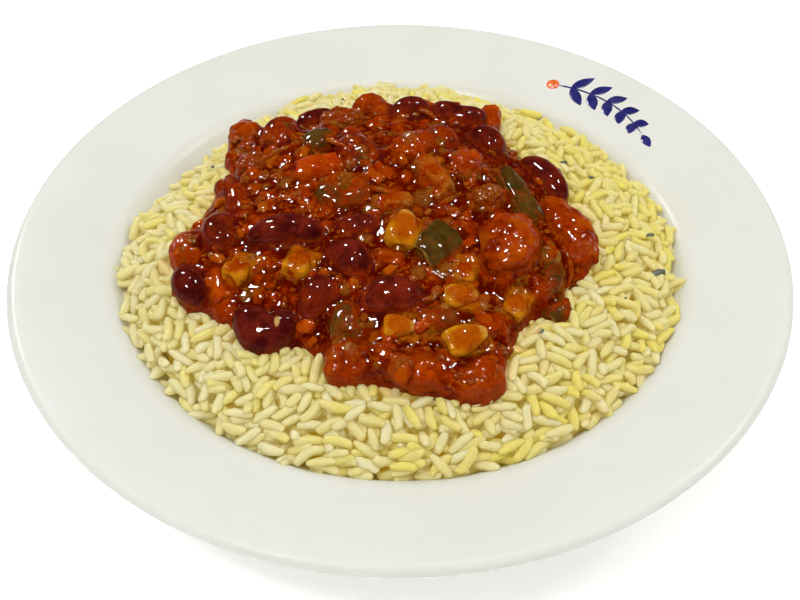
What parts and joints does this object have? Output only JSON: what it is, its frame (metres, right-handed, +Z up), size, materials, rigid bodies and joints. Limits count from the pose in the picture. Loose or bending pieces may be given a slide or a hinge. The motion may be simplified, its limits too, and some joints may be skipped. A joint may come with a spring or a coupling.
{
  "type": "chili con carne",
  "caption": "Chili con carne with kidney beans, corn and peppers, heaped on rice in a white deep plate with a wide rim.",
  "frame": {"origin": "centre of the plate's foot ring, on the table", "axes": "+Z up, out of the plate; the eater sits at -Y"},
  "size_m": [0.24, 0.24, 0.0619],
  "materials": {
    "chili": "wet tomato sauce with mince, strong gloss",
    "corn": "plump yellow kernel, moist",
    "green_pepper": "cooked olive green pepper, wet",
    "kidney_bean": "smooth dark maroon skin under a film of sauce",
    "mince": "crumbly browned mince, moist",
    "onion": "translucent amber onion, wet",
    "plate": null,
    "red_pepper": "cooked orange-red pepper, wet",
    "rice": "moist cooked long-grain rice, cream to pale yellow",
    "tomato": "soft red tomato, wet"
  },
  "bodies": {
    "root": {"chili": "chili", "corn_01": "corn", "corn_02": "corn", "corn_03": "corn", "corn_04": "corn", "corn_05": "corn", "corn_06": "corn", "corn_07": "corn", "corn_08": "corn", "green_pepper_01": "green_pepper", "green_pepper_02": "green_pepper", "green_pepper_03": "green_pepper", "green_pepper_04": "green_pepper", "green_pepper_05": "green_pepper", "green_pepper_06": "green_pepper", "green_pepper_07": "green_pepper", "green_pepper_08": "green_pepper", "kidney_bean_01": "kidney_bean", "kidney_bean_02": "kidney_bean", "kidney_bean_03": "kidney_bean", "kidney_bean_04": "kidney_bean", "kidney_bean_05": "kidney_bean", "kidney_bean_06": "kidney_bean", "kidney_bean_07": "kidney_bean", "kidney_bean_08": "kidney_bean", "kidney_bean_09": "kidney_bean", "kidney_bean_10": "kidney_bean", "kidney_bean_11": "kidney_bean", "kidney_bean_12": "kidney_bean", "kidney_bean_13": "kidney_bean", "kidney_bean_14": "kidney_bean", "kidney_bean_15": "kidney_bean", "kidney_bean_16": "kidney_bean", "kidney_bean_17": "kidney_bean", "mince_01": "mince", "mince_02": "mince", "mince_03": "mince", "onion_01": "onion", "onion_02": "onion", "plate": "plate", "red_pepper_01": "red_pepper", "red_pepper_02": "red_pepper", "red_pepper_03": "red_pepper", "rice": "rice", "tomato_01": "tomato", "tomato_02": "tomato", "tomato_03": "tomato", "tomato_04": "tomato", "tomato_05": "tomato", "tomato_06": "tomato", "tomato_07": "tomato", "tomato_08": "tomato", "tomato_09": "tomato", "tomato_10": "tomato"}
  },
  "joints": []
}
